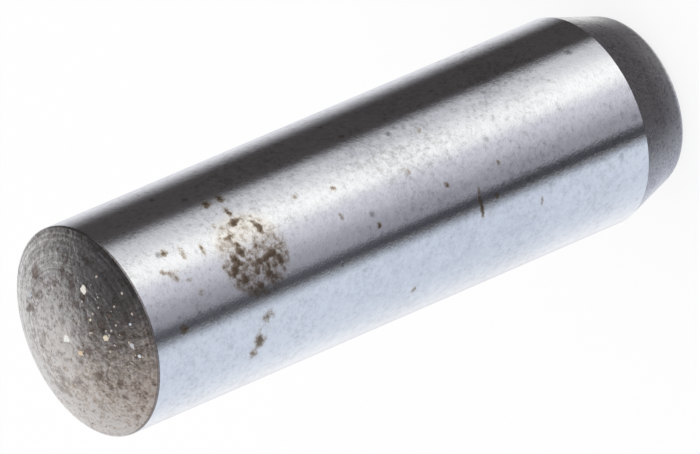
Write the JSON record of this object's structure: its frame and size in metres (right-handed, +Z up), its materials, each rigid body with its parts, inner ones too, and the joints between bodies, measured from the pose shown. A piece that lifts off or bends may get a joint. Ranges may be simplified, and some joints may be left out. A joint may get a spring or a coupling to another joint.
{
  "type": "dowel pin",
  "caption": "Round ground steel pin that lines up two parts: crowned at one end, with a short taper at the other to lead it into its hole.",
  "frame": {"origin": "centre of the flat at the lead-in end, on which the pin stands", "axes": "+Z up the pin's axis, from the lead-in end to the crowned end"},
  "size_m": [0.006, 0.006, 0.02],
  "materials": {
    "ground_steel": "ground and tumbled shank with fine pits and a few brown stains; the crown and the lead-in taper are matt, with fine turning rings"
  },
  "bodies": {
    "root": {"dowel_pin": "ground_steel"}
  },
  "joints": []
}
